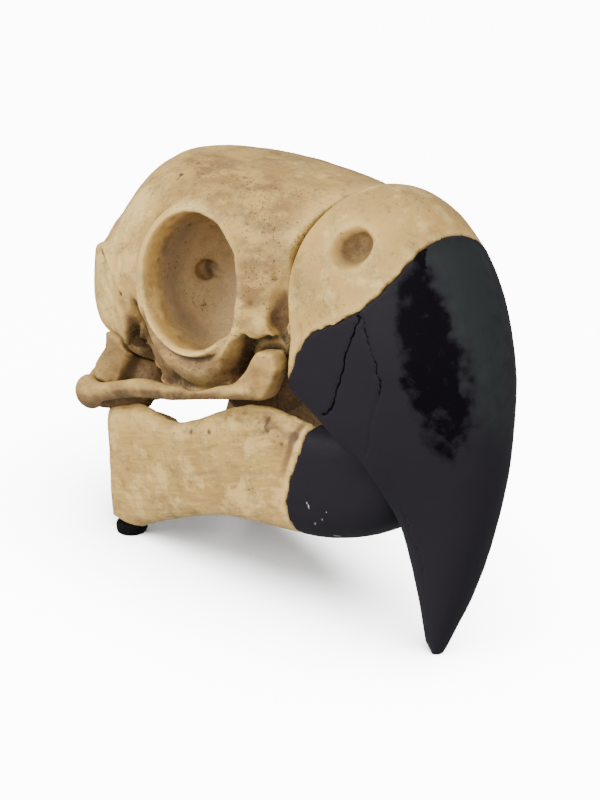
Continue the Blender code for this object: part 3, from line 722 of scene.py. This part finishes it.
def craniumPieces():
    # what is fused to the cranium's copy, and what is then cut from it
    axes = orbitAxes()
    corner = np.array(orbit["centre"]) + axes[0] * orbitCorner["ahead"] - axes[1] * orbitCorner["below"]
    add = bothSides(
        rimBar(-215, -12, 1.15, 1.25, -0.3),
        rimBar(-12, 146, 1.1, 1.0, -1.25),
        bar([(x + 0.9, y, z + 0.9, 1.1, 1.1) for x, y, z in crestGroove]),
        ball(hindKnob["centre"], hindKnob["radii"]),
        bar(sill),
    )
    cut = bothSides(
        ball(orbit["centre"], orbit["radii"], axes),
        ball(corner, orbitCorner["radii"], axes),
        ball(plug["centre"], plug["radii"]),
        bar(plugGroove),
        slab(antorbital, -34.0, -19.4),
        slab(hookTrim, -36.0, -23.0),
        bar(crevice),
        bar(lacrimal),
    )
    return add, cut


def craniumForms(p, eye):
    # how much each point belongs to each form of the side, from 0 to 1, and its distance to the hinge in mm
    q, turn, _ = eye
    outer = 1 - rise(p[:, 1], -20.0, -16.0)
    low = ((turn < -15) & (turn > -170)) * rise(np.abs(turn + 92), 80.0, 60.0)
    below = low * rise(p[:, 2], 54.0, 58.0) * rise(-p[:, 0], -6.0, 2.0)
    hinge = np.abs(sideLine(p, hingeLine)[0])
    return {
        "outer": outer,
        "low": low,
        "hinge": hinge,
        "valley": rise(hinge, 7.5, 0.5) * rise(-p[:, 2], -104.0, -90.0) * rise(p[:, 2], 76.0, 79.0) * outer,
        "bowl": np.maximum(inOutline(p, bowl, 1.6), below) * rise(q, 1.06, 1.15) * outer,
        "wing": inOutline(p, wingFace, 0.7) * outer,
        "pits": spots(p, craniumPlaces["pits"]),
    }


def shapeCranium(fine, p, eye, forms):
    # forms go in across the skull, pits and dents along the normals, and the brow is eased
    looks = craniumLooks
    q, _, ahead = eye
    inward = looks["valley"] * forms["valley"] + looks["bowl"] * forms["bowl"]
    inward = inward + looks["wing"] * forms["wing"] * (1 - rise(-p[:, 0], 46.0, 52.0))
    inward = inward + looks["crest"] * nearLine(p, crestGroove, 0.7)
    fine.points[:, 1] -= np.sign(fine.points[:, 1]) * inward
    fine.push(-spots(p, craniumPlaces["dents"]) - looks["pits"] * forms["pits"])
    eased = fine.spread(fine.points, 90)
    flush = rise(q, 1.02, 1.1) * rise(ahead, -16.0, -10.0) * rise(q, 2.3, 1.7) * (1 - forms["low"])
    flush = flush * (1 - nearLine(p, crestGroove, 5.0)) * (1 - forms["wing"])
    fine.points += looks["flush"] * flush[:, None] * (eased - fine.points)


def craniumStains(p, eye, forms, skin):
    q, turn, ahead = eye
    places = craniumPlaces
    # Inside the eye socket: browner near its edge and on its back wall, as painted shade, and paler on its
    # deep wall, as painted light.
    socket = rise(1.0 - q, 0.0, 0.08) * rise(-ahead, 0.5, 5.0)
    lining = rise(1.0 - q, 0.0, 0.06) * rise(-ahead, 0.0, 2.5)
    wall = rise(-ahead, 7.5, 15.5)
    back = rise(np.abs(turn), 80.0, 150.0) * rise(-ahead, 0.5, 4.0)
    # painted shade in a ring round the plug's hollow and along its groove
    ring = np.linalg.norm(p - plug["centre"], axis=1) - plug["ring"]
    plugShading = np.exp(-((ring / 0.4) ** 2)) + nearLine(p, plugShadeLine, 0.6)
    hole = inOutline(p, antorbital, 0.8) * rise(p[:, 1], -22.5, -20.0) * rise(-p[:, 1], 14.0, 16.5)
    recess = nearLine(p, [station[:3] for station in lacrimal], 3.2) * rise(p[:, 2], 93.0, 84.0)
    # a painted highlight along the eye's rim, strongest on its lower part
    rimPaintedHighlight = np.exp(-(((q - 1.12) / 0.08) ** 2)) * rise(ahead, -6.0, -3.0) * (0.3 + 0.7 * forms["low"])
    crown = rise(noise(p, 1.1, 91) + 0.4 * noise(p, 4.0, 92), 0.5, 0.9) * spots(p, places["crown"])
    specks = 0.35 * skin * rise(noise(p, 12.0, 3), 0.1, 0.5) + 0.6 * forms["pits"]
    green = 0.8 * rise(forms["hinge"], 2.0, 0.3) * rise(p[:, 2], 92.0, 100.0)
    # brown as painted shade in recesses, under the skull and in the socket, partly painted shade in the bowl;
    # the bruise and hinge entries are the bone's own marks
    browned = {
        "recess": recess * forms["outer"],
        "hole": hole,
        "bowl": forms["bowl"],
        "bruise": spots(p, places["bruises"]) * forms["bowl"],
        "under": rise(-p[:, 2], -60.0, -46.0) * rise(p[:, 1], -24.0, -16.0),
        "crevice": spots(p, places["knob"]) + nearLine(p, creviceShadeLine, 2.4),
        "hinge": rise(forms["hinge"], 2.4, 0.3) * rise(-p[:, 2], -93.0, -84.0),
        "crest": nearLine(p * (1, 0.3, 1), [(x, 0.3 * y, z) for x, y, z in crestGroove], 0.6),
        "eye": socket * (1 - 0.68 * wall),
        "eyeBack": socket * back * (1 - 0.68 * wall),
        "plugShade": socket * plugShading,
        "valley": forms["valley"],
    }
    return {
        "brown": sum(craniumBrown[name] * share for name, share in browned.items()),
        "dark": spots(p, places["dots"]) + crown + specks,
        "pale": 0.8 * rimPaintedHighlight + 0.35 * forms["wing"] + 0.8 * spots(p, places["brow"]) + 0.25 * socket * wall,
        "mould": green + spots(p, places["mould"]) + 0.2 * socket * wall,
        "smudge": spots(p, places["smudges"]) + forms["bowl"] + 0.2 * socket,
        "ash": lining * (0.55 + 0.45 * wall) * (1 - 0.8 * plugShading),
        "calm": (0.7 + 0.3 * wall) * socket,
    }


def makeCranium():
    fine = Fine("craniumBone", "cranium", craniumLooks, *craniumPieces())
    p = onRight(fine.points)
    eye = orbitPlace(p)
    forms = craniumForms(p, eye)
    shapeCranium(fine, p, eye, forms)
    skin = bonySkin(fine, craniumLooks["skin"])
    boneMarks(fine, **craniumStains(onRight(fine.points), eye, forms, skin))
    fine.done(bone, "cast_bone", "cranium")


makeCranium()


# Upper bill: bony base with the nostrils, and the black sheath. Its cracks and edges are x and z.
billLooks = {
    "voxel": 0.42,
    "passes": 3,
    "skin": 0.7,
    "crease": 0.35,      # depth in mm of the crease beside the hinge
    "crack": 0.3,        # of the two cracks
    "hook": 0.2,         # of the crease on the hook
    "proud": 0.16,       # how far the sheath stands out
    "stout": 1.3,        # how much the hook is thickened behind
}
baseCrease = [(24.0, -22.1, 80.5), (24.2, -22.1, 78.6), (24.0, -22.1, 72.0)]
crackBehind = [
    (40.5, 87.1), (40.7, 85.7), (39.6, 81.8), (37.4, 76.4), (37.1, 72.5), (35.1, 67.5), (33.3, 63.1),
    (30.5, 60.7),
]
crackAhead = [
    (40.6, 87.2), (41.8, 86.3), (42.9, 83.7), (45.1, 78.9), (46.4, 74.9), (46.9, 73.1), (46.3, 69.6),
    (44.6, 63.0), (42.4, 55.0),
]
hookCrease = [(47.4, 41.0), (48.0, 37.8), (47.9, 34.0), (50.1, 28.1), (50.4, 22.0)]
fieldEdge = [
    (50.0, 97.6), (50.8, 96.3), (53.2, 93.2), (55.7, 89.5), (58.3, 84.6), (60.1, 80.6), (61.6, 75.6),
    (62.8, 70.7), (63.4, 62.0), (62.0, 50.0),
]


def makeBillBase():
    fine = Fine("billBase", "upper_bill_base", billLooks)
    far = jagSeam(fine, sheathLine)
    p = onRight(fine.points)
    crease = nearLine(p, baseCrease, 0.6)
    fine.push(-billLooks["crease"] * crease)
    skin = bonySkin(fine, billLooks["skin"], 11)
    hinge = np.exp(-((sideLine(p, hingeLine)[0] / 1.3) ** 2))
    nostril = nearPoint(p, (31.0, -14.5, 99.5), (5.5, 6.0, 4.6))
    seam = np.exp(-((far / 0.8) ** 2))
    # The nostril's bowl and the crease beside the hinge are browned as painted shade; the hinge line and the
    # seam are the bone's own dark joints.
    boneMarks(
        fine,
        brown=0.6 * hinge * rise(-p[:, 2], -94.0, -84.0) + 0.1 * nostril + 0.25 * crease + 0.35 * seam,
        dark=0.3 * skin * rise(noise(p, 9.0, 6), 0.2, 0.6),
        pale=0.1,
        mould=0.8 * hinge * rise(p[:, 2], 92.0, 100.0) + nearPoint(p, (22.0, -22.0, 90.0), (4, 5, 8)) * 0.6,
    )
    fine.done(bone, "cast_bone", "upper_bill_base")


def sheathCracks(p):
    # the cracks of the right side, with their lines made to wander by noise
    wander = 0.45 * np.column_stack([noise(p, 2.2, 33), noise(p, 2.6, 34)])
    wander = wander + 0.2 * np.column_stack([noise(p, 0.9, 35), noise(p, 0.9, 36)])
    rightSide = 1 - rise(p[:, 1], -6.0, -2.0)
    for line in (crackBehind, crackAhead, hookCrease):
        yield nearLine(p[:, [0, 2]] + wander, smoothPath(line, 40), 0.36) * rightSide


def makeSheath():
    looks = billLooks
    fine = Fine("billSheath", "upper_bill_sheath", looks)
    jagSeam(fine, sheathLine)
    p = fine.points
    behind, ahead, hook = sheathCracks(p)
    ahead = ahead * (0.75 + 0.25 * rise(p[:, 2], 64.0, 74.0))
    swell = 0.14 * noise(p, 9.0, 21) + 0.05 * noise(p, 3.0, 22)
    stout = rise(-p[:, 2], -30.0, -10.0) * rise(-fine.normals()[:, 0], -0.2, 0.6) * rise(p[:, 2], 0.6, 3.0)
    fine.points[:, 0] -= looks["stout"] * stout
    proud = (looks["proud"] + swell) * rise(p[:, 2], 0.2, 2.5)      # the tip stays on the floor
    fine.push(proud - looks["crack"] * (behind + ahead) - looks["hook"] * hook)
    p = fine.points
    ragged = 1.6 * noise(p, 4.0, 71) + 1.0 * noise(p, 1.8, 72)
    wander = 0.9 * noise(p, 2.6, 73) + 0.5 * noise(p, 1.2, 74)
    # the dark field, partly painted shade, and the band of painted sheen down the front
    front = sideLine(p, fieldEdge)[0] + wander      # mm ahead of the dark field's front edge
    field = rise(-front, -1.0, 1.6) * rise(p[:, 2] + 3 * ragged + 0.6 * (p[:, 0] - 56.0), 50.0, 74.0)
    field = field * rise(p[:, 0] + 0.22 * (p[:, 2] - 84.0) + ragged, 47.2, 53.0)
    sheenBand = rise(front, -1.6, 2.0) * rise(p[:, 2] + 2 * ragged, 48.0, 78.0) * rise(p[:, 0], 44.0, 52.0)
    fine.mark("field", field * rise(-p[:, 1], -2.0, 2.0))
    fine.mark("sheenBand", sheenBand * (1 - 0.4 * rise(np.abs(p[:, 1]), 16.0, 19.0)))
    fine.mark("crackLine", behind + 0.8 * ahead + 0.7 * hook)
    fine.mark("chips", 0.0)
    fine.done(horn, "black_horn", "upper_bill_sheath")


makeBillBase()
makeSheath()


# Jaw and its black sheath
jawLooks = {
    "voxel": 0.45,
    "passes": 3,
    "skin": 0.8,
    "lip": 0.4,          # height and depths in mm at the front of the jaw
    "groove": 0.5,
    "pit": 0.6,
    "proud": 0.16,       # how far the sheath stands out
}
jawShelf = [(-41.0, -18.9), (-46.0, -17.2), (-50.0, -14.0)]      # rear end and side of each cut in the shelf
jawLip = [
    (-8.0, -20.5, 52.0), (9.0, -17.9, 54.4), (13.1, -17.3, 54.2), (17.0, -16.0, 54.0), (19.1, -15.9, 53.6),
]
jawGroove = [(8.5, -19.2, 52.6), (11.0, -19.4, 51.8), (14.0, -19.0, 50.9), (18.5, -18.4, 50.6)]
jawPlaces = {
    "pit": [(1.0, (13.6, -20.5, 49.7), 0.8)],
    "spots": [(1.0, (-15.0, -24.1, 42.5), 0.9), (1.0, (-8.1, -23.8, 44.7), 0.9)],
    "holes": [(1.0, (-3.3, -22.5, 49.3), 1.0), (1.0, (1.8, -20.6, 52.3), 0.9)],
    "smudge": [(0.5, (11.0, -20.0, 49.0), (7.0, 6.0, 4.0))],
    "blots": [
        (1.0, (8.6, -20.4, 52.4), 2.0), (1.0, (11.5, -20.6, 50.9), 2.0), (1.0, (15.1, -20.2, 49.4), 1.6),
        (1.0, (3.5, -21.6, 46.6), (3.2, 3.0, 1.4)),
    ],
}
chips = [
    [(22.7, -18.7, 35.6), (23.1, -18.5, 34.9), (23.2, -18.3, 34.1)],
    [(23.9, -17.3, 30.4), (24.1, -17.3, 30.1)],
    [(27.7, -16.9, 34.6), (27.8, -16.8, 34.3)],
    [(26.2, -17.0, 32.2), (26.3, -17.0, 31.9)],
    [(26.6, -13.6, 26.9), (27.2, -13.0, 26.7), (27.8, -12.6, 26.8)],
]


def fillRear(p):
    # the rear end of the jaw is carried back, its top is raised and its lower corner is let down
    rear = rise(-p[:, 0], 42.0, 52.0)
    p[:, 0] -= 2.0 * rear * rise(-p[:, 2], -26.0, -10.0) * rise(p[:, 2], 3.5, 5.0)
    p[:, 0] -= 1.2 * rear * rise(p[:, 2], 28.0, 36.0)
    p[:, 2] += 1.4 * rise(-p[:, 0], 46.0, 54.0) * rise(p[:, 2], 26.0, 34.0)
    lowest = p[:, 2].min()
    corner = np.clip((-p[:, 0] - 44.0) / 10, 0, 1.2) * np.clip((17.0 - p[:, 2]) / 12, 0, 1)
    p[:, 0] -= 2.4 * corner
    p[:, 0] += 0.75 * np.maximum(-55.0 - p[:, 0], 0)
    p[:, 2] = np.maximum(p[:, 2] - 8.0 * corner, lowest + 0.12 * (p[:, 2] - lowest))


def makeJaw():
    looks = jawLooks
    shelf = [
        slab([(back, 35.0), (-28.0, 33.6), (-28.0, 46.0), (back, 46.0)], side, -5.0)
        for back, side in jawShelf
    ]
    fine = Fine("jawBone", "jaw", looks, (), bothSides(*shelf))
    jagSeam(fine, jawSheathLine)
    fillRear(fine.points)
    p = onRight(fine.points)
    lip = nearLine(p, jawLip, 1.1)
    groove = nearLine(p, jawGroove, 1.0)
    fine.push(looks["lip"] * lip - looks["groove"] * groove - looks["pit"] * spots(p, jawPlaces["pit"]))
    skin = bonySkin(fine, looks["skin"], 31)
    p = onRight(fine.points)
    far = np.abs(sideLine(p, jawSheathLine)[0])      # from the seam
    low = rise(-p[:, 2], -13.0, -3.5)
    outer = rise(-p[:, 1], 14.0, 17.0)
    # faces that look to the other side and the groove are browned as painted shade, and the two holes are
    # painted dark as their shade
    inner = rise(-fine.normals()[:, 1] * np.sign(fine.points[:, 1]), 0.0, 0.5)      # faces the other side
    blots = spots(p, jawPlaces["blots"]) * (0.25 + 1.6 * np.clip(noise(p, 1.1, 61), 0, 1))
    spotted = spots(p, jawPlaces["spots"]) + blots
    streak = rise(far, 1.2, 1.8) * rise(far, 4.2, 2.6) * rise(p[:, 2], 36.0, 44.0) * outer
    rim = rise(np.abs(far - 0.5), 0.9, 0.3) * rise(p[:, 2], 20.0, 38.0) * outer
    boneMarks(
        fine,
        brown=0.3 * low + 0.8 * inner + 0.8 * groove + 0.75 * streak + 0.95 * spotted,
        dark=0.7 * spots(p, jawPlaces["holes"]) + 0.3 * skin * (noise(p, 8.0, 9) > 0.2),
        pale=0.1 + 0.5 * lip + (0.6 + 0.5 * noise(p, 2.5, 65)) * rim,
        smudge=spots(p, jawPlaces["smudge"]) + 0.5 * low,
        grain=0.9,
    )
    fine.done(bone, "cast_bone", "jaw")


def makeChinSheath():
    fine = Fine("chinSheath", "lower_bill_sheath", jawLooks)
    jagSeam(fine, jawSheathLine)
    fine.push(jawLooks["proud"] + 0.12 * noise(fine.points, 7.0, 41) + 0.06 * noise(fine.points, 2.2, 42))
    for name in ("field", "sheenBand", "crackLine"):
        fine.mark(name, 0.0)
    fine.mark("chips", sum(nearLine(fine.points, line, 0.36) for line in chips))
    fine.done(horn, "black_horn", "lower_bill_sheath")


makeJaw()
makeChinSheath()


# Slim bones round the palate and the cheek
slimLooks = {"voxel": 0.35, "passes": 3, "ease": 6, "skin": 0.6}
slimBones = {      # how brown each is, and the seed of its surface
    "cheek_bar_": (0.18, 51),
    "quadrate_": (0.2, 61),
    "palatine_": (1.2, 71),
    "pterygoid_": (1.0, 81),
}
neckTrim = [
    (-75.0, 64.0), (-50.8, 64.0), (-50.6, 54.6), (-54.6, 50.2), (-59.4, 45.8), (-66.0, 42.4), (-75.0, 50.0),
]
jawWeb = [
    (-49.5, 59.4), (-50.6, 54.4), (-55.0, 49.6), (-60.0, 44.8), (-63.4, 40.4), (-60.0, 36.5), (-50.0, 40.0),
    (-45.0, 50.0), (-45.0, 58.0),
]
quadrateFoot = [
    (-60.0, -22.0, 38.0, 3.0, 3.4), (-56.0, -21.0, 39.0, 3.6, 4.0), (-50.5, -19.2, 40.4, 3.6, 4.2),
    (-45.0, -17.8, 41.2, 3.0, 3.8), (-42.0, -17.4, 41.4, 1.8, 2.8),
]
blockHollow = {"centre": (21.5, -20.0, 69.0), "radii": (3.6, 9.0, 8.0)}      # ahead of the bar's block


def slimExtras(node):
    # what a slim bone gains and loses beside its CAD solid
    mirror = (1, -1, 1) if node.endswith("left") else (1, 1, 1)
    if node.startswith("quadrate"):
        gained = [slab(jawWeb, -23.8, -20.4) * mirror, bar(quadrateFoot) * mirror]
        return gained, [slab(neckTrim, -34.0, -16.0) * mirror]
    if node.startswith("cheek"):
        return [], [ball(blockHollow["centre"], blockHollow["radii"]) * mirror]
    return [], []


def barUnderShade(p):
    # painted shade on the bar's lower half: 1 below the bar's own middle line, a fourth-power curve through
    # it, between its knob and its block
    x, z = p[:, 0], p[:, 2]
    line = np.polyval(np.polyfit(x, z, 4), x)
    between = rise(x, -48.0, -38.0) * rise(-x, -8.0, 0.0)
    return rise(line - z, -1.4, 0.3) * between * (1 + 0.4 * noise(p, 3.0, 55))


def makeSlimBone(node, brown, seed):
    fine = Fine(node.replace("_", " ").title().replace(" ", "") + "Bone", node, slimLooks, *slimExtras(node))
    fine.points = fine.spread(fine.points, slimLooks["ease"])
    skin = bonySkin(fine, slimLooks["skin"], seed)
    p = fine.points
    # downward faces are browned as painted shade, and so are the bar's lower half and the quadrate's inner
    # and lower parts
    under = rise(-fine.normals()[:, 2], -0.4, 0.4)
    if node.startswith("cheek"):
        under = np.maximum(under, 1.4 * barUnderShade(p))
    if node.startswith("quadrate"):
        brown = brown + 0.75 * (rise(-np.abs(p[:, 1]), -24.0, -18.5) + rise(-p[:, 2], -45.0, -42.0))
    boneMarks(fine, 40, brown=brown + 0.55 * under, dark=0.3 * skin, smudge=0.5)
    fine.done(bone, "cast_bone", node)


for side in ("left", "right"):
    for node, (brown, seed) in slimBones.items():
        makeSlimBone(node + side, brown, seed)


# Pads under the rear ends of the jaw
padLooks = {"voxel": 0.25, "passes": 2, "wider": 1.1, "back": 0.7, "fuzz": 0.12}


def makePad(node):
    fine = Fine(node.replace("_", ""), node, padLooks, crease=30.0, levels=1)
    above = rise(fine.points[:, 2], 0.25, 0.8)      # the foot stays flat on the floor
    middle = fine.points[:, :2].mean(axis=0)
    fine.points[:, :2] = middle + (fine.points[:, :2] - middle) * padLooks["wider"] - (padLooks["back"], 0)
    fine.push(padLooks["fuzz"] * noise(fine.points, 0.9, 91) * above)
    fine.done(felt, "pad_rubber", node)


for side in ("left", "right"):
    makePad("pad_" + side)


# Floor, light and sky
studio = {"key": 17.0, "fill": 7.0, "top": 3.0, "sheet": 42.0, "sky": 0.6, "floor": 12.0}


def makeFloor(reach):
    mesh = bpy.data.meshes.new("floor")
    corners = [(-reach, -reach, 0), (reach, -reach, 0), (reach, reach, 0), (-reach, reach, 0)]
    mesh.from_pydata(corners, [], [(0, 1, 2, 3)])
    floor = bpy.data.objects.new("floor", mesh)
    bpy.context.scene.collection.objects.link(floor)
    material, w, feed = newMaterial("white paper")
    feed("Base Color", w.blend((0.9, 0.9, 0.9, 1), (0.94, 0.94, 0.94, 1), w.cloud(3.0)))
    feed("Roughness", 0.7)
    mesh.materials.append(material)
    floor.visible_diffuse = False      # no bounce from the bright paper on the skull
    floor.visible_glossy = False
    return floor


def addLamp(name, kind, place, aim, size, power, only=None):
    # size is metres across, or the spread in radians for a sun
    lamp = bpy.data.objects.new(name, bpy.data.lights.new(name, kind))
    if kind == "SUN":
        lamp.data.angle = size
    else:
        lamp.data.size = size
    lamp.data.energy = power
    lamp.location = place
    lamp.rotation_euler = (Vector(aim) - Vector(place)).to_track_quat("-Z", "Y").to_euler()
    bpy.context.scene.collection.objects.link(lamp)
    if only:      # this lamp lights one thing alone, and the rest still casts its shadow
        lit = bpy.data.collections.new(name + "Lit")
        lit.objects.link(only)
        lamp.light_linking.receiver_collection = lit


def lightRoom(floor):
    middle = (0, 0, 0.05)
    addLamp("key", "AREA", (-0.2, -0.9, 0.55), middle, 0.6, studio["key"])
    addLamp("fill", "AREA", (0.9, -0.25, 0.4), middle, 0.8, studio["fill"])
    addLamp("top", "AREA", (-0.1, 0.1, 1.0), middle, 0.9, studio["top"])
    addLamp("sheet", "SUN", (0.4, -0.1, 1.0), (0, 0, 0), math.radians(60), studio["sheet"], floor)
    world = bpy.data.worlds.new("white room")
    world.use_nodes = True
    sky = world.node_tree.nodes["Background"].inputs
    sky["Color"].default_value = (1, 1, 1, 1)
    sky["Strength"].default_value = studio["sky"]
    bpy.context.scene.world = world


lightRoom(makeFloor(studio["floor"]))
report("floor and light")
